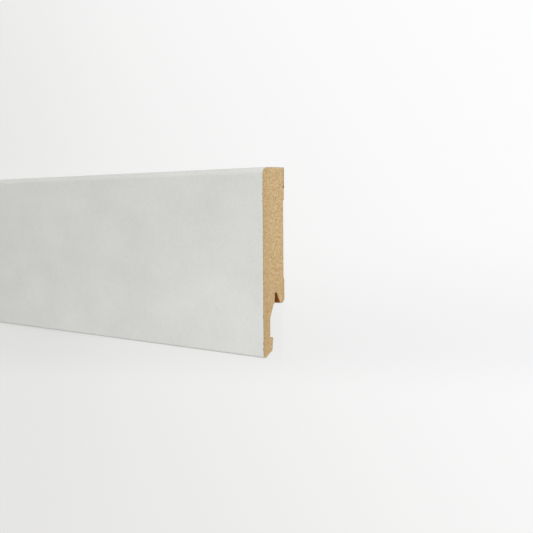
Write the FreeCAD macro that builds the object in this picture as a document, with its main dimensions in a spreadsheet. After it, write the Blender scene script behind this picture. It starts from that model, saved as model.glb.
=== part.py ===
"""Skirting board length: a milled MDF moulding wrapped in a pale decor foil.

Each piece is drawn upright, as the board stands against a wall: X along the board,
Y the depth behind its outer face, Z the height above its bottom edge. Its Placement
then lays it on its back, with the face up, the back on the floor at Z = 0, the top edge
towards +Y and the sawn end towards +X. All sizes are in millimetres.
"""
import FreeCAD, Part
import Sketcher
import os
import re

SIZES = [
    # The whole board, with its foil on
    ("board_length", 2400, "sold length, from end to end"),
    ("board_height", 100, "from the bottom edge to the top edge"),
    ("board_thickness", 15, "from the outer face to the back"),
    # The foil and the seat milled for its return
    ("foil_thickness", 0.25, "decor foil"),
    ("foil_return", 10, "how far the foil runs down the back"),
    ("return_gap", 0.6, "open seat between the foil's end and the bare back"),
    ("return_relief", 0.05, "how much the foil's return lies below the back"),
    # Rounded corners of the moulding, under the foil
    ("top_front_radius", 3.25, "top corner on the face side"),
    ("top_back_radius", 0.25, "top corner on the wall side"),
    ("bottom_front_radius", 0.95, "bottom corner on the face side"),
    # Toe, underside bevel and lip. Depths are from the face, heights from the bottom edge
    ("toe_depth", 2, "back edge of the toe that meets the floor"),
    ("bevel_depth", 6.3, "back edge of the underside bevel"),
    ("bevel_top", 3.7, "height at which the bevel ends"),
    ("lip_depth", 7.1, "back edge of the lip"),
    ("lip_top", 10.5, "height of the lip's ledge"),
    # Thin web in front of the cable space
    ("web_thickness", 5, "web, with its foil"),
    ("web_top", 21, "height at which the slope starts"),
    # Undercut clip groove and the nose behind it, measured from the back, where the clip sits
    ("nose_bottom", 28.4, "height of the nose's underside"),
    ("nose_width", 2.9, "nose, from the back to the groove's mouth"),
    ("nose_flat", 0.2, "flat left beside the mouth by the nose's rounded corner"),
    ("groove_mouth_width", 4, "mouth of the groove"),
    ("groove_ledge", 0.5, "ledge between the groove's mouth and the slope"),
    ("groove_top", 34.1, "height of the groove's end"),
    ("groove_lean", 2.5, "how far the groove's back wall leans towards the face"),
    ("groove_end_width", 1.2, "flat end of the groove"),
    ("groove_radius", 0.5, "cutter radius at the groove's end"),
    # Shallow relief between the two pads of the back
    ("relief_depth", 0.6, "depth of the relief"),
    ("lower_pad_height", 11.9, "lower pad, above the nose's underside"),
    ("ramp_height", 2.2, "ramp from the lower pad into the relief"),
    ("upper_pad_height", 17.2, "upper pad, below the top edge"),
    # How far a cutter's outline runs outside the stock
    ("cutter_overrun", 5, "outside the back and the bottom edge"),
]

# A corner that is flush with the outer face or the bottom edge
FLUSH = "0"

SIGNS = {"+": 1, "-": -1}
EDGE_TOLERANCE = 1e-4


def make_sheet(document):
    """Puts every driving dimension in a cell with an alias of its own."""
    sheet = document.addObject("Spreadsheet::Sheet", "Sizes")
    for row, (name, number, meaning) in enumerate(SIZES, start=1):
        sheet.set(f"A{row}", meaning)
        sheet.set(f"B{row}", str(number))
        sheet.setAlias(f"B{row}", name)
    document.recompute()
    return sheet


def bound(words):
    """Turns size names into references to the sheet's cells."""
    return re.sub(r"[a-z_]+", r"Sizes.\g<0>", words)


def bind(thing, target, words):
    """Binds a property or constraint to an expression of size names."""
    thing.setExpression(target, bound(words))


def number(sheet, words):
    """The present value of size names joined by plus and minus signs."""
    total = 0.0
    sign = 1
    for word in words.split():
        if word in SIGNS:
            sign = SIGNS[word]
        elif word != FLUSH:
            total += sign * sheet.get(word)
    return total


def origin_plane(body, role):
    """One of the body's own origin planes."""
    return next(plane for plane in body.Origin.OriginFeatures if plane.Role == role)


def draw_section(body, sheet, name, corners):
    """A closed outline across the board. Each corner is a depth and a height, as size names."""
    sketch = body.newObject("Sketcher::SketchObject", name)
    sketch.AttachmentSupport = [(origin_plane(body, "YZ_Plane"), "")]
    sketch.MapMode = "FlatFace"
    points = [
        FreeCAD.Vector(number(sheet, depth), number(sheet, height), 0)
        for depth, height in corners
    ]
    following = points[1:] + points[:1]
    for start, end in zip(points, following):
        sketch.addGeometry(Part.LineSegment(start, end), False)
    for line in range(len(points)):
        after = (line + 1) % len(points)
        sketch.addConstraint(Sketcher.Constraint("Coincident", line, 2, after, 1))
    for line, (depth, height) in enumerate(corners):
        hold_corner(sketch, line, "DistanceX", points[line].x, depth)
        hold_corner(sketch, line, "DistanceY", points[line].y, height)
    return sketch


def hold_corner(sketch, line, direction, start_value, words):
    """Holds the start of a line at a bound distance from the sketch's origin."""
    index = sketch.addConstraint(Sketcher.Constraint(direction, line, 1, start_value))
    bind(sketch, f"Constraints[{index}]", words)


def pad_section(body, name, sketch):
    """The board's stock, as long as the board and centred on its middle."""
    pad = body.newObject("PartDesign::Pad", name)
    pad.Profile = sketch
    pad.SideType = "Symmetric"
    bind(pad, "Length", "board_length")
    return pad


def mill_section(body, name, sketch):
    """A cut that runs through the whole length of the board, both ways from its middle."""
    cut = body.newObject("PartDesign::Pocket", name)
    cut.Profile = sketch
    cut.SideType = "Symmetric"
    bind(cut, "Length", "board_length + 2 * cutter_overrun")
    return cut


def lengthwise_edges(sheet, shape, depth, height):
    """Names of the edges that run along the board at a depth and a height."""
    wanted = FreeCAD.Vector(0, number(sheet, depth), number(sheet, height))
    names = []
    for index, edge in enumerate(shape.Edges, start=1):
        off = [
            FreeCAD.Vector(0, vertex.Y, vertex.Z).distanceToPoint(wanted)
            for vertex in edge.Vertexes
        ]
        if max(off) < EDGE_TOLERANCE:
            names.append(f"Edge{index}")
    return names


def round_corner(document, body, sheet, name, depth, height, radius):
    """Rounds the corner that runs along the board at a depth and a height."""
    document.recompute()
    base = body.Tip
    fillet = body.newObject("PartDesign::Fillet", name)
    fillet.Base = (base, lengthwise_edges(sheet, base.Shape, depth, height))
    bind(fillet, "Radius", radius)
    body.Tip = fillet
    return fillet


def lay_on_back(body):
    """Turns the upright piece on its back, centred across and with its back at Z = 0."""
    turn = FreeCAD.Rotation(FreeCAD.Vector(1, 0, 0), -90)
    body.Placement = FreeCAD.Placement(FreeCAD.Vector(0, 0, 0), turn)
    bind(body, "Placement.Base.y", "-board_height / 2")
    bind(body, "Placement.Base.z", "board_thickness")


def make_mdf_core(document, sheet):
    """The moulding: a planed blank with every cut and round that runs along it."""
    body = document.addObject("PartDesign::Body", "mdf_core")
    body.Label = "mdf_core"

    blank = draw_section(body, sheet, "blank_section", [
        ("foil_thickness", "foil_thickness"),
        ("board_thickness", "foil_thickness"),
        ("board_thickness", "board_height - foil_thickness"),
        ("foil_thickness", "board_height - foil_thickness"),
    ])
    pad_section(body, "planed_blank", blank)

    mouth_back = "board_thickness - nose_width"
    mouth_front = f"{mouth_back} - groove_mouth_width"
    groove_back = f"{mouth_back} - groove_lean"
    groove_front = f"{groove_back} - groove_end_width"
    clip_side = draw_section(body, sheet, "clip_side_section", [
        ("board_thickness + cutter_overrun", "nose_bottom"),
        (mouth_back, "nose_bottom"),
        (groove_back, "groove_top"),
        (groove_front, "groove_top"),
        (mouth_front, "nose_bottom"),
        (f"{mouth_front} - groove_ledge", "nose_bottom"),
        ("web_thickness", "web_top"),
        ("web_thickness", "lip_top"),
        ("lip_depth", "lip_top"),
        ("bevel_depth", "bevel_top"),
        ("toe_depth", "foil_thickness"),
        ("toe_depth", "- cutter_overrun"),
        ("board_thickness + cutter_overrun", "- cutter_overrun"),
    ])
    mill_section(body, "clip_side_cut", clip_side)

    relief = draw_section(body, sheet, "relief_section", [
        ("board_thickness", "nose_bottom + lower_pad_height"),
        ("board_thickness - relief_depth", "nose_bottom + lower_pad_height + ramp_height"),
        ("board_thickness - relief_depth", "board_height - upper_pad_height"),
        ("board_thickness", "board_height - upper_pad_height"),
    ])
    mill_section(body, "relief_cut", relief)

    seat_depth = "board_thickness - return_relief - foil_thickness"
    seat_bottom = "board_height - foil_return - return_gap"
    seat = draw_section(body, sheet, "foil_seat_section", [
        (seat_depth, seat_bottom),
        (seat_depth, "board_height"),
        ("board_thickness", "board_height"),
        ("board_thickness", seat_bottom),
    ])
    mill_section(body, "foil_seat_cut", seat)

    top = "board_height - foil_thickness"
    rounds = [
        ("top_front_round", "foil_thickness", top, "top_front_radius"),
        ("top_back_round", seat_depth, top, "top_back_radius"),
        ("bottom_front_round", "foil_thickness", "foil_thickness", "bottom_front_radius"),
        ("nose_round", "board_thickness", "nose_bottom", "nose_width - nose_flat"),
        ("groove_front_round", groove_front, "groove_top", "groove_radius"),
        ("groove_back_round", groove_back, "groove_top", "groove_radius"),
    ]
    for name, depth, height, radius in rounds:
        round_corner(document, body, sheet, name, depth, height, radius)

    lay_on_back(body)
    return body


def make_decor_foil(document, sheet):
    """The foil: from under the toe up the face, over the top and a little way down the back."""
    body = document.addObject("PartDesign::Body", "decor_foil")
    body.Label = "decor_foil"

    return_outside = "board_thickness - return_relief"
    return_inside = "board_thickness - return_relief - foil_thickness"
    top_inside = "board_height - foil_thickness"
    wrap = draw_section(body, sheet, "wrap_section", [
        ("toe_depth", FLUSH),
        (FLUSH, FLUSH),
        (FLUSH, "board_height"),
        (return_outside, "board_height"),
        (return_outside, "board_height - foil_return"),
        (return_inside, "board_height - foil_return"),
        (return_inside, top_inside),
        ("foil_thickness", top_inside),
        ("foil_thickness", "foil_thickness"),
        ("toe_depth", "foil_thickness"),
    ])
    pad_section(body, "wrapped_foil", wrap)

    corners = [
        ("bottom_front", FLUSH, FLUSH, "foil_thickness", "foil_thickness"),
        ("top_front", FLUSH, "board_height", "foil_thickness", top_inside),
        ("top_back", return_outside, "board_height", return_inside, top_inside),
    ]
    for corner, out_depth, out_height, in_depth, in_height in corners:
        radius = f"{corner}_radius"
        round_corner(document, body, sheet, f"{corner}_outside", out_depth, out_height,
                     f"{radius} + foil_thickness")
        round_corner(document, body, sheet, f"{corner}_inside", in_depth, in_height, radius)

    lay_on_back(body)
    return body


def check(document, pieces):
    """Stops if any object failed or any piece isn't one valid solid."""
    for thing in document.Objects:
        if "Invalid" in thing.State or "Error" in thing.State:
            raise RuntimeError(f"{thing.Name} failed: {thing.State}")
    for piece in pieces:
        shape = piece.Shape
        if shape.isNull() or not shape.isValid() or len(shape.Solids) != 1:
            raise RuntimeError(f"{piece.Label} is not one valid solid")
        box = shape.BoundBox
        print(
            f"{piece.Label}: {shape.Volume / 1000:.1f} cm3,"
            f" {box.XLength:.2f} x {box.YLength:.2f} x {box.ZLength:.2f} mm,"
            f" Z from {box.ZMin:.3f} to {box.ZMax:.3f}"
        )


def main():
    document = FreeCAD.newDocument("skirting_board")
    sheet = make_sheet(document)
    pieces = [make_mdf_core(document, sheet), make_decor_foil(document, sheet)]
    document.recompute()
    check(document, pieces)
    os.makedirs("parts", exist_ok=True)
    for piece in pieces:
        piece.Shape.exportStep(f"parts/{piece.Label}.step")


main()
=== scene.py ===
"""Looks of a foil-wrapped MDF skirting board length, laid on its back with its face up.

Everything is in metres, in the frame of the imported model: X along the board with the
sawn end that the camera sees at +X, Y from the bottom edge to the top edge, Z out of
the face, and the floor at Z = 0.
"""
import math
import random

import bmesh
import bpy
from mathutils import Matrix, Vector, kdtree, noise
from mathutils.bvhtree import BVHTree


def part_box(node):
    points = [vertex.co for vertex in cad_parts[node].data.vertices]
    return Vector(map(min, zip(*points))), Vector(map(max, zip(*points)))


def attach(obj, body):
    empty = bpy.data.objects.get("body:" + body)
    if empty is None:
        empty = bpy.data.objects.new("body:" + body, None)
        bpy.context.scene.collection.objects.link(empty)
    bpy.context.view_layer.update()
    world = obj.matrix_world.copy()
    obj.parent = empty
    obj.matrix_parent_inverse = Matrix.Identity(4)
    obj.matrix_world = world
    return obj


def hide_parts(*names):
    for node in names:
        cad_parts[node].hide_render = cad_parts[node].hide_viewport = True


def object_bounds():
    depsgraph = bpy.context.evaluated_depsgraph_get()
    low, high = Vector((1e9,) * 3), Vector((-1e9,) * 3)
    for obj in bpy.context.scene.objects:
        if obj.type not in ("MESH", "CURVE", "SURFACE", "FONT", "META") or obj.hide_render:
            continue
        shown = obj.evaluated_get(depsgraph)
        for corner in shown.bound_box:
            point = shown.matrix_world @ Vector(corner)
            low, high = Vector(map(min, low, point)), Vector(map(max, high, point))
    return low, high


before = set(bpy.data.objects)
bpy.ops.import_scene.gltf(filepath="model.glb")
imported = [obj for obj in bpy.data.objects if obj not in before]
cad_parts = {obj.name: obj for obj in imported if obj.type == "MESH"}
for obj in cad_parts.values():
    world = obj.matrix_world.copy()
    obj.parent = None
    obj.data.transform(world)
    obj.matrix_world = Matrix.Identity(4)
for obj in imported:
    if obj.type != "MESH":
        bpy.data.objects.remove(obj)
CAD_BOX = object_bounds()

MM = 0.001
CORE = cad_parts["mdf_core"]
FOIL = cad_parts["decor_foil"]
CORE_LOW, CORE_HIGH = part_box("mdf_core")
FOIL_LOW, FOIL_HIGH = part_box("decor_foil")

# Place and lens of the camera, which looks down on the face. It is turned about the
# board's height from straight above, then tilted to the bottom edge, then rolled.
CAMERA_PLACE = Vector((1685.78, 27.55, 426.02)) * MM
CAMERA_TURN = math.radians(49.596)
CAMERA_TILT = math.radians(2.645)
CAMERA_ROLL = math.radians(0.372)
CAMERA_LENS = 82.56
CAMERA_SENSOR = 36.0
CAMERA_CLIP = (0.01, 50.0)

# The stretch at each end that is cut fine enough to show how it was sawn
SAWN_ZONE = 2.0 * MM
SAWN_ROWS = (0.15 * MM, 0.4 * MM, 0.9 * MM)
SAWN_STEP = 0.25 * MM

# Places closer than SNAP are one, faces less than FLAT_ANGLE apart are one flat face, and
# edges over SHARP_ANGLE stay sharp
SNAP = 1e-7
FLAT_ANGLE = math.radians(0.5)
SHARP_ANGLE = math.radians(34)

# Relief of the sawn MDF. Each pair is a size across the board and in its thickness. Pits
# start at a level of the noise and reach their depth over the ramp.
CORE_RECESS = 0.06 * MM
FIBRE_RELIEF = 0.10 * MM
COARSE_BUNDLE = (1.6 * MM, 0.7 * MM)
FINE_BUNDLE = (0.7 * MM, 0.35 * MM)
PIT_DEPTH = 0.16 * MM
PIT_SIZE = (1.1 * MM, 0.8 * MM)
PIT_START = 0.42
PIT_RAMP = 0.3

# Marks of the saw blade, with its hub beside and below the board, in blade radii
SAW_MARK = 0.012 * MM
SAW_PITCH = 0.9 * MM
BLADE_RADIUS = 125.0 * MM
HUB_ACROSS = -0.6
HUB_HEIGHT = -0.7

# Wear of the bare arrises, its least share, and the share of it that goes into the sawn end
ARRIS_WEAR = 0.16 * MM
ARRIS_REACH = 0.35 * MM
ARRIS_LEAST = 0.25
WEAR_LENGTH = 1.3 * MM
WEAR_INTO_END = 0.6

# Chips in the foil's sawn edge, with sizes, start and ramp as above, and how far in they reach
FOIL_CHIP = 0.4 * MM
COARSE_CHIP = (1.3 * MM, 1.3 * MM)
FINE_CHIP = (0.5 * MM, 0.5 * MM)
COARSE_SHARE = 0.85
FINE_SHARE = 0.14
CHIP_START = 0.24
CHIP_RAMP = 0.4
CHIP_REACH = 0.5 * SAWN_ZONE

# How near the foil lies where it covers the core
FOIL_COVER = 0.03 * MM

# A nick that the saw tore out of the back, beside the end of the foil's return
NICK_ACROSS = 39.7 * MM
NICK_REACH = Vector((0.9, 0.75, 0.6)) * MM
NICK_DEPTH = 0.35 * MM
NICK_RAGGED = (0.4 * MM, 0.3 * MM)

# Loose fibres on each sawn end: how many lie flat and stand off the arrises, and their sizes
FIBRES_FLAT = 520
FIBRES_ARRIS = 260
FLAT_LENGTHS = (0.25 * MM, 0.9 * MM)
ARRIS_LENGTHS = (0.2 * MM, 0.55 * MM)
FIBRE_RADII = (0.012 * MM, 0.028 * MM)
FIBRE_TAPER = 0.5
FIBRE_SIDES = 4
FIBRE_SEED = 20

# How they lean. FLAT_LIFT and ARRIS_STAND are shares of a fibre's length, and ARRIS_DRAG is
# how far a fibre may lean back along the board for each unit that it goes outwards.
FLAT_SPREAD = math.radians(32)
FLAT_LIFT = 0.4
ARRIS_SPREAD = math.radians(48)
ARRIS_DRAG = 0.8
ARRIS_STAND = 0.3


# Camera

def make_camera():
    """The camera at the photograph's viewing angle."""
    data = bpy.data.cameras.new("view")
    data.lens = CAMERA_LENS
    data.sensor_width = CAMERA_SENSOR
    data.clip_start, data.clip_end = CAMERA_CLIP
    camera = bpy.data.objects.new("view", data)
    turned = Matrix.Rotation(CAMERA_TURN, 4, "Y")
    tilted = Matrix.Rotation(-CAMERA_TILT, 4, "X")
    rolled = Matrix.Rotation(-CAMERA_ROLL, 4, "Z")
    camera.matrix_world = Matrix.Translation(CAMERA_PLACE) @ turned @ tilted @ rolled
    bpy.context.scene.collection.objects.link(camera)
    bpy.context.scene.camera = camera


# Materials

def tone(red, green, blue):
    """A colour as it looks on a screen, from 0 to 255, as the linear values of a shader."""
    linear = []
    for part in (red, green, blue):
        value = part / 255
        if value <= 0.04045:
            linear.append(value / 12.92)
        else:
            linear.append(((value + 0.055) / 1.055) ** 2.4)
    return (*linear, 1.0)


class Finish:
    """A material under construction: a Principled shader and the nodes that feed it."""

    def __init__(self, name, roughness, specular):
        self.material = bpy.data.materials.new(name)
        self.material.use_nodes = True
        self.tree = self.material.node_tree
        self.tree.nodes.clear()
        self.output = self.add("ShaderNodeOutputMaterial")
        self.shader = self.add("ShaderNodeBsdfPrincipled")
        self.shader.inputs["Roughness"].default_value = roughness
        self.shader.inputs["Specular IOR Level"].default_value = specular
        self.link(self.shader.outputs["BSDF"], self.output.inputs["Surface"])
        self.place = self.add("ShaderNodeTexCoord").outputs["Object"]

    def add(self, kind, **settings):
        """A new node with its settings."""
        made = self.tree.nodes.new(kind)
        for name, value in settings.items():
            setattr(made, name, value)
        return made

    def link(self, source, target):
        self.tree.links.new(source, target)

    def feed(self, socket, value):
        """Gives a socket either another node's output or a plain value."""
        if isinstance(value, bpy.types.NodeSocket):
            self.link(value, socket)
        else:
            socket.default_value = value

    def in_mm(self, stretch=(1, 1, 1), shift=(0, 0, 0)):
        """The place on the piece in millimetres, squeezed along each axis by a stretch."""
        mapping = self.add("ShaderNodeMapping")
        self.link(self.place, mapping.inputs["Vector"])
        mapping.inputs["Scale"].default_value = [1 / (MM * part) for part in stretch]
        mapping.inputs["Location"].default_value = shift
        return mapping.outputs["Vector"]

    def along(self, direction):
        """How far a place lies along a direction, in metres."""
        made = self.add("ShaderNodeVectorMath", operation="DOT_PRODUCT")
        self.link(self.place, made.inputs[0])
        made.inputs[1].default_value = direction
        return made.outputs["Value"]

    def near_line(self, across, height, reach):
        """From 1 at a line along the board to 0 at a reach from it."""
        centred = self.add("ShaderNodeVectorMath", operation="SUBTRACT")
        self.link(self.place, centred.inputs[0])
        centred.inputs[1].default_value = (0, across, height)
        flat = self.add("ShaderNodeVectorMath", operation="MULTIPLY")
        self.link(centred.outputs["Vector"], flat.inputs[0])
        flat.inputs[1].default_value = (0, 1, 1)
        away = self.add("ShaderNodeVectorMath", operation="LENGTH")
        self.link(flat.outputs["Vector"], away.inputs[0])
        return self.spread(away.outputs["Value"], 0.4 * reach, reach, 1.0, 0.0)

    def noise(self, vector, per_mm, detail=3.0, roughness=0.5, distortion=0.0):
        """Noise with so many features to a millimetre."""
        made = self.add("ShaderNodeTexNoise")
        self.link(vector, made.inputs["Vector"])
        made.inputs["Scale"].default_value = per_mm
        made.inputs["Detail"].default_value = detail
        made.inputs["Roughness"].default_value = roughness
        made.inputs["Distortion"].default_value = distortion
        return made.outputs["Fac"]

    def spread(self, value, low, high, to_low=0.0, to_high=1.0):
        """Maps low to high on a smooth step from to_low to to_high."""
        made = self.add("ShaderNodeMapRange", interpolation_type="SMOOTHSTEP")
        self.link(value, made.inputs["Value"])
        made.inputs["From Min"].default_value = low
        made.inputs["From Max"].default_value = high
        made.inputs["To Min"].default_value = to_low
        made.inputs["To Max"].default_value = to_high
        return made.outputs["Result"]

    def maths(self, operation, first, second=0.0):
        made = self.add("ShaderNodeMath", operation=operation)
        self.feed(made.inputs[0], first)
        self.feed(made.inputs[1], second)
        return made.outputs["Value"]

    def times(self, first, second):
        return self.maths("MULTIPLY", first, second)

    def sum_of(self, *shares):
        """Several values added up, each as a pair of a value and its weight."""
        total = self.times(*shares[0])
        for value, weight in shares[1:]:
            total = self.maths("ADD", total, self.times(value, weight))
        return total

    def mix(self, share, first, second):
        """Two colours mixed by a share."""
        made = self.add("ShaderNodeMix", data_type="RGBA")
        factor, colour_a, colour_b = made.inputs[0], made.inputs[6], made.inputs[7]
        self.feed(factor, share)
        self.feed(colour_a, first)
        self.feed(colour_b, second)
        return made.outputs[2]

    def ramp(self, value, stops):
        """Colours along a value, each at its own position."""
        made = self.add("ShaderNodeValToRGB")
        self.link(value, made.inputs["Fac"])
        elements = made.color_ramp.elements
        while len(elements) < len(stops):
            elements.new(1.0)
        for element, (position, colour) in zip(elements, stops):
            element.position = position
            element.color = colour
        return made.outputs["Color"]

    def bump(self, height, distance_mm, strength=1.0, under=None):
        """Relief from a height from 0 to 1 that stands for so many millimetres."""
        made = self.add("ShaderNodeBump")
        made.inputs["Strength"].default_value = strength
        made.inputs["Distance"].default_value = distance_mm * MM
        self.link(height, made.inputs["Height"])
        if under is not None:
            self.link(under, made.inputs["Normal"])
        return made.outputs["Normal"]

    def colour(self, value):
        self.feed(self.shader.inputs["Base Color"], value)

    def relief(self, value):
        self.link(value, self.shader.inputs["Normal"])


SAWN_DARK = tone(170, 134, 88)
SAWN_MID = tone(202, 175, 131)
SAWN_LIGHT = tone(228, 206, 166)
SAWN_FLECK = tone(138, 94, 50)
SKIN_TONE = tone(178, 146, 100)
# Darker, browner tone of the painted shade on the lower part of the sawn end
LOWER_SHADE_TONE = tone(184, 145, 98)
GLUE_TONE = tone(106, 82, 54)
BEAD_TONE = tone(86, 58, 28)
BEAD_DARK = tone(60, 38, 16)
FIBRE_TONE = tone(222, 199, 158)

# Heights above the back where the back's dense skin fades out, and the face's and the glue fade in
BACK_SKIN = (0.0, 1.3 * MM)
FACE_SKIN = (7.0 * MM, 14.75 * MM)
GLUE_LINE = (14.25 * MM, 14.6 * MM)
SKIN_SHARE = 0.28

# Places across the board between which the painted shade of its lower part, darker and browner, fades out
LOWER_SHADE_PART = (-20.0 * MM, 6.0 * MM)
LOWER_SHADE_SHARE = 0.17

# How far the dark flecks cover the MDF, sawn and milled
FLECK_SHARE = 0.6

# A dark bead where the foil's return ends on the back, with a dark spot on the sawn ends beside it
BEAD_ACROSS = 39.7 * MM
BEAD_HEIGHT = 0.25 * MM
BEAD_REACH = 0.8 * MM
BEAD_LENGTH = 7.0 * MM
BEAD_RECESS = 0.03 * MM
BEAD_RADII = (0.5 * MM, 0.2 * MM)
BEAD_SQUASH = 0.46
BEAD_SIDES = 16


def mdf_sawn():
    """Sawn MDF: cut fibre bundles that lie flat in the board, with a few dark flecks, and painted shade
    that darkens its lower part.
    """
    finish = Finish("mdf_sawn", roughness=0.93, specular=0.18)
    bundles = finish.noise(finish.in_mm((1, 1.5, 1)), 1.2, detail=3, roughness=0.6)
    fibres = finish.noise(finish.in_mm((1, 2.4, 0.9)), 3.6, detail=5, roughness=0.65, distortion=0.4)
    layers = finish.noise(finish.in_mm((1, 8, 0.8), (5, 2, 9)), 1.2, detail=2)
    tones = finish.sum_of((bundles, 0.52), (fibres, 0.4), (layers, 0.08))
    body = finish.ramp(tones, [(0.34, SAWN_DARK), (0.5, SAWN_MID), (0.66, SAWN_LIGHT)])

    height = finish.along((0, 0, 1))
    back_skin = finish.spread(height, *BACK_SKIN, 1.0, 0.0)
    face_skin = finish.spread(height, *FACE_SKIN)
    skin = finish.maths("MAXIMUM", back_skin, face_skin)
    skins_and_shade = finish.mix(finish.times(skin, SKIN_SHARE), body, SKIN_TONE)
    # Painted shade: the sawn end is darker and browner towards the bottom edge
    lower_shade = finish.spread(finish.along((0, 1, 0)), *LOWER_SHADE_PART, LOWER_SHADE_SHARE, 0.0)
    skins_and_shade = finish.mix(lower_shade, skins_and_shade, LOWER_SHADE_TONE)

    specks = finish.noise(finish.in_mm((1, 1.5, 0.8), (1, 6, 2)), 1.1, detail=3)
    glue = finish.times(finish.spread(height, *GLUE_LINE), finish.spread(specks, 0.48, 0.62, 0.15, 1.0))
    glued = finish.mix(glue, skins_and_shade, GLUE_TONE)
    bead = finish.near_line(BEAD_ACROSS, BEAD_HEIGHT, BEAD_REACH)

    fleck_noise = finish.noise(finish.in_mm((1, 1.4, 0.9), (7, 3, 5)), 1.7, detail=2)
    flecks = finish.times(finish.spread(fleck_noise, 0.6, 0.72), FLECK_SHARE)
    flecked = finish.mix(flecks, glued, SAWN_FLECK)
    finish.colour(finish.mix(bead, flecked, BEAD_TONE))
    finish.relief(finish.bump(fibres, 0.10, 0.9))
    return finish.material


MILLED_DARK = tone(142, 104, 62)
MILLED_MID = tone(186, 150, 104)
MILLED_LIGHT = tone(208, 176, 130)
MILLED_FLECK = tone(104, 70, 38)
# Darker brown for the painted shade inside the clip groove
GROOVE_SHADE_TONE = tone(160, 100, 36)

# The clip groove, from its mouth to its end, inside which the MDF is painted darker and browner as
# painted shade
GROOVE_MOUTH = (-21.9 * MM, -20.6 * MM)
GROOVE_END = (-15.6 * MM, -15.2 * MM)
GROOVE_ABOVE_BACK = (2.2 * MM, 2.6 * MM)
GROOVE_SHADE_SHARE = 0.75

# Scale of the wave texture at which the planer's knife marks are 1.3 mm apart
KNIFE_MARKS = 0.24


def mdf_milled():
    """MDF planed along the board: flat fibres, cutter streaks and faint knife marks, with painted shade
    inside the clip groove.
    """
    finish = Finish("mdf_milled", roughness=0.8, specular=0.25)
    fibres = finish.noise(finish.in_mm(), 2.4, detail=6, roughness=0.62, distortion=0.8)
    streaks = finish.noise(finish.in_mm((160, 1, 1)), 2.6, detail=3, roughness=0.6)
    tones = finish.sum_of((fibres, 0.66), (streaks, 0.34))
    body = finish.ramp(tones, [(0.34, MILLED_DARK), (0.52, MILLED_MID), (0.7, MILLED_LIGHT)])
    fleck_noise = finish.noise(finish.in_mm((1.6, 1, 1), (2, 9, 4)), 1.9, detail=2)
    flecks = finish.times(finish.spread(fleck_noise, 0.68, 0.76), FLECK_SHARE)
    flecked = finish.mix(flecks, body, MILLED_FLECK)

    across, height = finish.along((0, 1, 0)), finish.along((0, 0, 1))
    # Painted shade: the inside of the clip groove is painted darker and browner
    groove_shade = finish.times(finish.spread(across, *GROOVE_MOUTH), finish.spread(across, *GROOVE_END, 1, 0))
    groove_shade = finish.times(groove_shade, finish.spread(height, *GROOVE_ABOVE_BACK))
    finish.colour(finish.mix(finish.times(groove_shade, GROOVE_SHADE_SHARE), flecked, GROOVE_SHADE_TONE))

    knife = finish.add("ShaderNodeTexWave", wave_type="BANDS", bands_direction="X")
    finish.link(finish.in_mm(), knife.inputs["Vector"])
    knife.inputs["Scale"].default_value = KNIFE_MARKS
    knife.inputs["Distortion"].default_value = 0.6
    knife.inputs["Detail"].default_value = 1.0
    under = finish.bump(knife.outputs["Fac"], 0.006, 0.7)
    under = finish.bump(streaks, 0.02, 0.6, under)
    finish.relief(finish.bump(fibres, 0.04, 0.8, under))
    return finish.material


FOIL_TONE = tone(213, 214, 209)
FOIL_SHADE = tone(204, 205, 200)
FOIL_PALE = tone(221, 222, 217)
FOIL_CUT_PALE = tone(214, 207, 192)
FOIL_CUT_TONE = tone(190, 177, 156)
# Dark browns of the return's edge: painted shade of the gap there, with torn fibres
FOIL_CUT_TEAR_AND_SHADE_DARK = tone(98, 62, 24)
FOIL_CUT_TEAR_AND_SHADE = tone(148, 106, 54)

# Heights above the back between which the painted shade of the gap at the foil's return, with its torn
# fibres, stops showing
RETURN_TEAR_AND_SHADE = (0.3 * MM, 0.9 * MM)


def foil_face():
    """Pale grey decor foil: a matt sheet with a soft mottle in its print and a fine stipple."""
    finish = Finish("foil_face", roughness=0.5, specular=0.42)
    clouds = finish.noise(finish.in_mm((1.6, 1, 1)), 0.05, detail=2, roughness=0.5)
    mottle = finish.noise(finish.in_mm((1, 1.3, 1), (3, 8, 1)), 0.3, detail=3, roughness=0.6)
    grain = finish.noise(finish.in_mm((1, 1.2, 1), (9, 2, 6)), 1.2, detail=3, roughness=0.6)
    tones = finish.sum_of((clouds, 0.33), (mottle, 0.17), (grain, 0.5))
    finish.colour(finish.ramp(tones, [(0.3, FOIL_SHADE), (0.5, FOIL_TONE), (0.7, FOIL_PALE)]))
    stipple = finish.noise(finish.in_mm(), 3.4, detail=2, roughness=0.5)
    under = finish.bump(mottle, 0.05, 0.3)
    finish.relief(finish.bump(stipple, 0.02, 0.5, under))
    return finish.material


def foil_cut():
    """The foil's sawn edge: pale paper, darkened near the back at the return by painted shade of the gap
    there and by torn fibres.
    """
    finish = Finish("foil_cut", roughness=0.85, specular=0.2)
    ragged = finish.noise(finish.in_mm(), 1.8, detail=3, roughness=0.6)
    paper = finish.ramp(ragged, [(0.38, FOIL_CUT_TONE), (0.55, FOIL_CUT_PALE)])
    # Painted shade of the gap at the return, with torn fibres, on the foil's edge near the back
    glued = finish.ramp(ragged, [(0.4, FOIL_CUT_TEAR_AND_SHADE_DARK), (0.62, FOIL_CUT_TEAR_AND_SHADE)])
    above = finish.spread(finish.along((0, 0, 1)), *RETURN_TEAR_AND_SHADE)
    finish.colour(finish.mix(above, glued, paper))
    finish.relief(finish.bump(ragged, 0.03, 0.6))
    return finish.material


def dark_bead_finish():
    """A dark brown finish for the bead."""
    finish = Finish("dark_bead_finish", roughness=0.7, specular=0.2)
    shade = finish.noise(finish.in_mm(), 1.5, detail=2)
    finish.colour(finish.ramp(shade, [(0.35, BEAD_DARK), (0.65, BEAD_TONE)]))
    return finish.material


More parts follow.
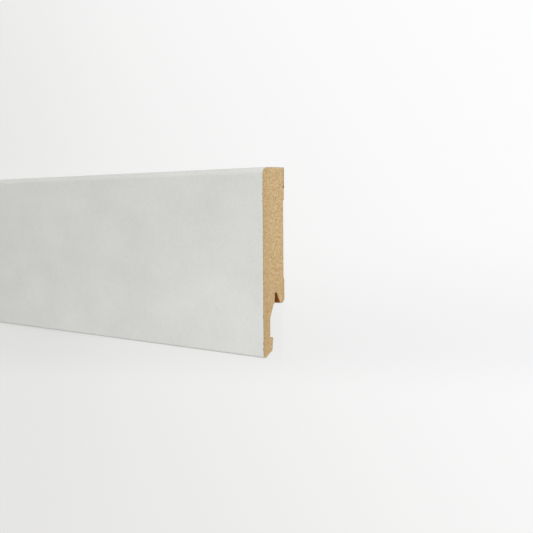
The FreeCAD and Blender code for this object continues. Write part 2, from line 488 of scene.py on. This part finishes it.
def loose_fibre():
    """A single pale wood fibre."""
    finish = Finish("loose_fibre", roughness=0.9, specular=0.2)
    shade = finish.noise(finish.in_mm(), 1.2, detail=2)
    finish.colour(finish.ramp(shade, [(0.35, SAWN_MID), (0.6, FIBRE_TONE)]))
    return finish.material


# Pieces

def copy_of(node):
    """The shape of a node as a bmesh, with its loose triangles joined into whole faces."""
    bm = bmesh.new()
    bm.from_mesh(node.data)
    bmesh.ops.remove_doubles(bm, verts=bm.verts, dist=SNAP)
    bmesh.ops.dissolve_limit(
        bm, angle_limit=FLAT_ANGLE, use_dissolve_boundaries=False,
        verts=bm.verts, edges=bm.edges,
    )
    return bm


def cut_across(bm, faces, axis, places):
    """Cuts faces by planes across an axis, from low to high, and returns what they become."""
    done = []
    waiting = list(faces)
    for place in places:
        parts = set(waiting)
        for face in waiting:
            parts.update(face.edges)
            parts.update(face.verts)
        cut = bmesh.ops.bisect_plane(
            bm, geom=list(parts), dist=SNAP, plane_co=axis * place, plane_no=axis,
        )
        faces = [part for part in cut["geom"] if isinstance(part, bmesh.types.BMFace)]
        waiting = [face for face in faces if face.calc_center_median().dot(axis) > place]
        done += [face for face in faces if face.calc_center_median().dot(axis) <= place]
        if not waiting:
            break
    return done + waiting


def steps(low, high, step):
    """Even places between low and high, neither of them included."""
    count = math.ceil((high - low) / step)
    return [low + step * index for index in range(1, count)]


def cut_end_zone(bm, low, high, side):
    """Cuts the stretch at one end into a fine grid and returns its vertices. side is 1 or -1."""
    along, across, up = Vector((1, 0, 0)), Vector((0, 1, 0)), Vector((0, 0, 1))
    end = high.x if side > 0 else low.x
    rows = [SAWN_ZONE, *reversed(SAWN_ROWS)]
    places = [end - side * row for row in rows]
    cut_across(bm, bm.faces, along, sorted(places))
    inner = end - side * (SAWN_ZONE + SNAP)
    zone = [
        face for face in bm.faces
        if all((vert.co.x - inner) * side > 0 for vert in face.verts)
    ]
    zone = cut_across(bm, zone, across, steps(low.y, high.y, SAWN_STEP))
    zone = cut_across(bm, zone, up, steps(low.z, high.z, SAWN_STEP))
    found = {vert for face in zone for vert in face.verts}
    return sorted(found, key=lambda vert: tuple(vert.co))


def clamp(value):
    """A value kept between 0 and 1."""
    return min(max(value, 0.0), 1.0)


def share(value):
    """Blender's noise, from about -1 to 1, as a share from 0 to 1."""
    return clamp(0.5 + 0.5 * value)


def end_noise(place, shift, size):
    """Noise on a sawn end, with features of a size across the board and in its thickness."""
    width, thickness = size
    return noise.noise(Vector((shift, place.y / width, place.z / thickness)))


def fibre_height(place):
    """Relief of cut fibres at a place on the sawn end, from 0 to 1. They lie flat in the board."""
    coarse = end_noise(place, 0.3, COARSE_BUNDLE)
    fine = end_noise(place, 4.1, FINE_BUNDLE)
    return share(0.6 * coarse + 0.8 * fine)


def pit(place, shift):
    """Where a fibre bundle was torn out of the sawn end, from 0 to 1."""
    return clamp((end_noise(place, shift, PIT_SIZE) - PIT_START) / PIT_RAMP)


def saw_mark(place, shift):
    """Arcs that the blade's teeth leave, from 0 to 1."""
    hub = Vector((place.x, HUB_ACROSS * BLADE_RADIUS, HUB_HEIGHT * BLADE_RADIUS))
    reach = (place - hub).length + shift * MM
    return 0.5 + 0.5 * math.sin(2 * math.pi * reach / SAW_PITCH)


def nick(place, end):
    """How far a place lies in the nick that the saw tore out of the back, from 0 to 1."""
    off = Vector((abs(end - place.x), place.y - NICK_ACROSS, place.z - CORE_LOW.z))
    reach = Vector((off.x / NICK_REACH.x, off.y / NICK_REACH.y, off.z / NICK_REACH.z)).length
    return clamp(1.25 - reach + 0.25 * end_noise(place, 2.2, NICK_RAGGED))


def is_long(face):
    """Whether a face belongs to a long surface of the board."""
    return abs(face.normal.x) < 0.5


def outward_across(vert):
    """Which way the long surfaces beside a vertex face, across the board."""
    outward = Vector((0, 0, 0))
    for face in filter(is_long, vert.link_faces):
        outward += Vector((0, face.normal.y, face.normal.z))
    return outward


def on_rim(vert, end):
    """Whether a vertex lies on the arris between the sawn end and a long surface."""
    return abs(vert.co.x - end) < SNAP and any(is_long(face) for face in vert.link_faces)


def roughen_core_end(vertices, end, side, rim, covered):
    """Moves the vertices of one end inwards, as a saw leaves MDF."""
    tree = kdtree.KDTree(len(rim))
    for index, vert in enumerate(rim):
        tree.insert(vert.co, index)
    tree.balance()
    moves = []
    for vert in vertices:
        place = vert.co.copy()
        depth = abs(end - place.x)
        flat = Vector((end, place.y, place.z))
        to_rim = tree.find(flat)[2]
        near = math.exp(-(to_rim + depth) / ARRIS_REACH)
        uneven = share(noise.noise(flat / WEAR_LENGTH) * 1.6)
        wear = ARRIS_WEAR * near * (ARRIS_LEAST + (1 - ARRIS_LEAST) * uneven)
        move = Vector((0, 0, 0))
        if depth < SNAP:
            into = CORE_RECESS + WEAR_INTO_END * wear
            into += FIBRE_RELIEF * (1 - fibre_height(place))
            into += PIT_DEPTH * pit(place, 11.7 * side)
            into += SAW_MARK * saw_mark(place, side)
            if side > 0:
                into += NICK_DEPTH * nick(place, end)
            move.x = -side * into
        outward = outward_across(vert)
        if outward.length > 0.1 and depth < SAWN_ZONE - SNAP and not covered(place):
            move -= outward.normalized() * wear
        moves.append((vert, move))
    for vert, move in moves:
        vert.co += move


def chip_foil_end(vertices, end, side):
    """Nicks the foil's sawn edge."""
    for vert in vertices:
        depth = abs(end - vert.co.x)
        fade = max(0.0, 1 - depth / CHIP_REACH)
        chip = clamp((end_noise(vert.co, 3.0 * side, COARSE_CHIP) - CHIP_START) / CHIP_RAMP)
        ragged = FINE_SHARE * share(end_noise(vert.co, 8.0 * side, FINE_CHIP))
        vert.co.x -= side * FOIL_CHIP * fade * (COARSE_SHARE * chip + ragged)


def add_fibre(bm, middle, direction, length, radius):
    """One thin strand, tapered to its far tip."""
    turn = direction.to_track_quat("Z", "Y").to_matrix().to_4x4()
    bmesh.ops.create_cone(
        bm, cap_ends=True, cap_tris=False, segments=FIBRE_SIDES, radius1=radius,
        radius2=radius * FIBRE_TAPER, depth=length, matrix=Matrix.Translation(middle) @ turn,
    )


def add_loose_fibres(bm, dice, end, side, on_end, arris):
    """Fibres that lie on one sawn end, and short ones that stand off its bare arrises."""
    for place in dice.choices(on_end, k=FIBRES_FLAT):
        length = dice.uniform(*FLAT_LENGTHS)
        radius = dice.uniform(*FIBRE_RADII)
        lean = dice.gauss(0, FLAT_SPREAD)
        room = max(side * (end - place.x) - 2 * radius, 0.0)
        rise = min(room, FLAT_LIFT * length) * dice.random()
        direction = Vector((side * rise, math.cos(lean) * length, math.sin(lean) * length))
        middle = place + Vector((side * 0.5 * rise, 0, 0))
        add_fibre(bm, middle, direction, length, radius)
    for place, outward in dice.choices(arris, k=FIBRES_ARRIS):
        length = dice.uniform(*ARRIS_LENGTHS)
        radius = dice.uniform(*FIBRE_RADII)
        away = Matrix.Rotation(dice.gauss(0, ARRIS_SPREAD), 3, "X") @ outward
        direction = away - Vector((side * dice.uniform(0, ARRIS_DRAG), 0, 0))
        middle = place + direction.normalized() * ARRIS_STAND * length
        add_fibre(bm, middle, direction, length, radius)


def keep_inside(bm):
    """Drops the strands that reach out of the board's own box."""
    low, high = CAD_BOX
    strands = set()
    for vert in bm.verts:
        if any(vert.co[axis] < low[axis] or vert.co[axis] > high[axis] for axis in range(3)):
            strands.add(vert)
    for vert in list(strands):
        for face in vert.link_faces:
            for corner in face.verts:
                strands.update(near for other in corner.link_faces for near in other.verts)
    bmesh.ops.delete(bm, geom=list(strands), context="VERTS")


def finished(bm, name, node, materials):
    """Turns a bmesh into a piece, which stands for a node if one is given."""
    mesh = bpy.data.meshes.new(name)
    bm.to_mesh(mesh)
    bm.free()
    for material in materials:
        mesh.materials.append(material)
    mesh.shade_smooth()
    mesh.set_sharp_from_angle(angle=SHARP_ANGLE)
    piece = bpy.data.objects.new(name, mesh)
    bpy.context.scene.collection.objects.link(piece)
    weigh = piece.modifiers.new("even_normals", "WEIGHTED_NORMAL")
    weigh.keep_sharp = True
    weigh.weight = 100
    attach(piece, "root")
    if node is not None:
        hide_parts(node)


# Index of the sawn end's material on each piece; its long surfaces have the first one
SAWN = 1


def mark_sawn(vertices):
    """Gives the faces of a sawn end their own material."""
    for vert in vertices:
        for face in vert.link_faces:
            if abs(face.normal.x) > 0.9:
                face.material_index = SAWN


def make_core(materials, fibre_material):
    """The MDF moulding, milled along its length and sawn at both ends, with loose fibres."""
    foil_tree = BVHTree.FromPolygons(
        [vert.co.copy() for vert in FOIL.data.vertices],
        [list(polygon.vertices) for polygon in FOIL.data.polygons],
    )

    def covered(place):
        """Whether the foil lies on the core at a place."""
        return foil_tree.find_nearest(place)[3] < FOIL_COVER

    bm = copy_of(CORE)
    fuzz = bmesh.new()
    dice = random.Random(FIBRE_SEED)
    for side in (1, -1):
        end = CORE_HIGH.x if side > 0 else CORE_LOW.x
        vertices = cut_end_zone(bm, CORE_LOW, CORE_HIGH, side)
        bm.normal_update()
        mark_sawn(vertices)
        rim = [vert for vert in vertices if on_rim(vert, end)]
        flat = [vert for vert in vertices if abs(vert.co.x - end) < SNAP]
        bare = [(vert, outward_across(vert).normalized()) for vert in rim if not covered(vert.co)]
        roughen_core_end(vertices, end, side, rim, covered)
        on_end = [vert.co.copy() for vert in flat]
        arris = [(vert.co.copy(), outward) for vert, outward in bare]
        add_loose_fibres(fuzz, dice, end, side, on_end, arris)
    keep_inside(fuzz)
    finished(bm, "mdf_moulding", "mdf_core", materials)
    finished(fuzz, "sawn_fibres", None, [fibre_material])


def make_foil(materials):
    """The decor foil wrapped round the moulding, with its sawn edge a little chipped."""
    bm = copy_of(FOIL)
    for side in (1, -1):
        end = FOIL_HIGH.x if side > 0 else FOIL_LOW.x
        vertices = cut_end_zone(bm, FOIL_LOW, FOIL_HIGH, side)
        bm.normal_update()
        mark_sawn(vertices)
        chip_foil_end(vertices, end, side)
    finished(bm, "foil_wrap", "decor_foil", materials)


def make_dark_bead(material):
    """A dark bead in the open seat beside the foil's return, ending just short of the sawn end."""
    bm = bmesh.new()
    middle = CORE_HIGH.x - 0.5 * BEAD_LENGTH - BEAD_RECESS
    place = Vector((middle, BEAD_ACROSS, BEAD_HEIGHT))
    squash = Matrix.Diagonal((1, 1, BEAD_SQUASH, 1))
    turn = Matrix.Rotation(math.radians(-90), 4, "Y")
    bmesh.ops.create_cone(
        bm, cap_ends=True, cap_tris=False, segments=BEAD_SIDES, radius1=BEAD_RADII[0],
        radius2=BEAD_RADII[1], depth=BEAD_LENGTH, matrix=Matrix.Translation(place) @ squash @ turn,
    )
    finished(bm, "dark_bead", None, [material])


# Floor and light

# The floor grows paler along a way past the sawn end, a painted gradient of light
FLOOR_SIZE = 12.0
FLOOR_DIM = tone(234, 234, 233)
FLOOR_PALE = tone(252, 252, 252)
FLOOR_BLACK = (0, 0, 0, 1)
FLOOR_WAY = (1, 1, 0)
FLOOR_FADE = (0.85, 1.5)

# A faint painted shadow on the floor below the board, a dim band which fades out along the board too
SHADOW_BAND_WAY = (-0.085, 1, 0)
SHADOW_BAND_BELOW = (-0.172, -0.146)
SHADOW_BAND_ABOVE = (-0.145, -0.09)
SHADOW_BAND_START = (0.5, 0.92)
SHADOW_BAND_END = (1.42, 1.9)
SHADOW_BAND_DEPTH = 0.05

# Places along the board between which the share of the floor's own light grows, and the shares
LIFT_STRETCH = (0.94, 1.08)
LIFT_SHARES = (0.76, 0.95)


def floor_material():
    """A pale floor whose own light, in view and in reflections, keeps the shadows faint, with a painted
    gradient of light and a painted shadow below the board.
    """
    finish = Finish("floor", roughness=0.9, specular=0.1)
    # Painted light: the floor is darker away from the sawn end and below the board
    paleness = finish.spread(finish.along(FLOOR_WAY), *FLOOR_FADE)
    plain = finish.mix(paleness, FLOOR_DIM, FLOOR_PALE)
    below, along = finish.along(SHADOW_BAND_WAY), finish.along((1, 0, 0))
    # Painted shadow: a dim band on the floor below the board
    painted_shadow = finish.times(finish.spread(below, *SHADOW_BAND_BELOW), finish.spread(below, *SHADOW_BAND_ABOVE, 1.0, 0.0))
    painted_shadow = finish.times(painted_shadow, finish.spread(along, *SHADOW_BAND_START))
    painted_shadow = finish.times(painted_shadow, finish.spread(along, *SHADOW_BAND_END, 1.0, 0.0))
    tint = finish.mix(finish.times(painted_shadow, SHADOW_BAND_DEPTH), plain, FLOOR_BLACK)
    finish.colour(tint)
    glow = finish.add("ShaderNodeEmission")
    finish.link(tint, glow.inputs["Color"])
    glow.inputs["Strength"].default_value = 1.0
    path = finish.add("ShaderNodeLightPath")
    mirrored = finish.maths("MAXIMUM", path.outputs["Is Glossy Ray"], path.outputs["Is Transmission Ray"])
    lift = finish.spread(along, *LIFT_STRETCH, *LIFT_SHARES)
    seen = finish.times(finish.maths("MAXIMUM", path.outputs["Is Camera Ray"], mirrored), lift)
    blend = finish.add("ShaderNodeMixShader")
    finish.link(seen, blend.inputs["Fac"])
    finish.link(finish.shader.outputs["BSDF"], blend.inputs[1])
    finish.link(glow.outputs["Emission"], blend.inputs[2])
    finish.link(blend.outputs["Shader"], finish.output.inputs["Surface"])
    return finish.material


def make_floor():
    """The floor that the board lies on, which is staging."""
    bm = bmesh.new()
    bmesh.ops.create_grid(bm, x_segments=1, y_segments=1, size=FLOOR_SIZE / 2)
    mesh = bpy.data.meshes.new("floor")
    bm.to_mesh(mesh)
    bm.free()
    mesh.materials.append(floor_material())
    floor = bpy.data.objects.new("floor", mesh)
    bpy.context.scene.collection.objects.link(floor)


def soft_lamp(name, place, target, sides, watts):
    """A soft rectangular lamp that points at a target and isn't seen itself."""
    data = bpy.data.lights.new(name, "AREA")
    data.shape = "RECTANGLE"
    data.size, data.size_y = sides
    data.energy = watts
    lamp = bpy.data.objects.new(name, data)
    lamp.location = place
    aim = Vector(target) - Vector(place)
    lamp.rotation_mode = "QUATERNION"
    lamp.rotation_quaternion = aim.to_track_quat("-Z", "Y")
    lamp.visible_camera = False
    bpy.context.scene.collection.objects.link(lamp)


# Strength of the light from all round, against a way and along it
WORLD_DIM = 0.2
WORLD_BRIGHT = 0.8
WORLD_WAY = (0.6, 0.8, 0)

# The lamps that aim at the sawn end, each with its place, its sides and its watts
AIMED_LAMPS = {
    "key": ((1.6, 0.42, 1.75), (0.25, 0.25), 14.25),
    "end_light": ((1.65, 0.1, 0.3), (0.3, 0.3), 0.525),
}

# Low strips over the foot of the face, each with its place along and across, length and watts
LOW_STRIPS = {
    "low_light": (1.18, -0.032, 0.13, 0.0023),
    "low_far_light": (1.03, -0.036, 0.16, 0.0014),
}
STRIP_HEIGHT = 0.05
STRIP_WIDTH = 0.02


def surround():
    """Light from all round, stronger from the side of the sawn end and the top edge."""
    world = bpy.data.worlds.new("studio")
    world.use_nodes = True
    tree = world.node_tree
    way = tree.nodes.new("ShaderNodeTexCoord")
    facing = tree.nodes.new("ShaderNodeVectorMath")
    facing.operation = "DOT_PRODUCT"
    facing.inputs[1].default_value = WORLD_WAY
    strength = tree.nodes.new("ShaderNodeMapRange")
    strength.inputs["From Min"].default_value = -1
    strength.inputs["To Min"].default_value = WORLD_DIM
    strength.inputs["To Max"].default_value = WORLD_BRIGHT
    tree.links.new(way.outputs["Generated"], facing.inputs[0])
    tree.links.new(facing.outputs["Value"], strength.inputs["Value"])
    background = tree.nodes["Background"]
    background.inputs["Color"].default_value = (1, 1, 1, 1)
    tree.links.new(strength.outputs["Result"], background.inputs["Strength"])
    bpy.context.scene.world = world


def light_scene():
    """Light from all round, a key nearly overhead, a lamp at the sawn end and two low strips."""
    surround()
    near_end = (CORE_HIGH.x, 0, 0)
    for name, (place, sides, watts) in AIMED_LAMPS.items():
        soft_lamp(name, place, near_end, sides, watts)
    for name, (along, across, length, watts) in LOW_STRIPS.items():
        place = (along, across, STRIP_HEIGHT)
        soft_lamp(name, place, (along, across, 0), (length, STRIP_WIDTH), watts)
    bpy.context.scene.view_settings.view_transform = "Standard"


def main():
    make_camera()
    make_core([mdf_milled(), mdf_sawn()], loose_fibre())
    make_foil([foil_face(), foil_cut()])
    make_dark_bead(dark_bead_finish())
    make_floor()
    light_scene()


main()
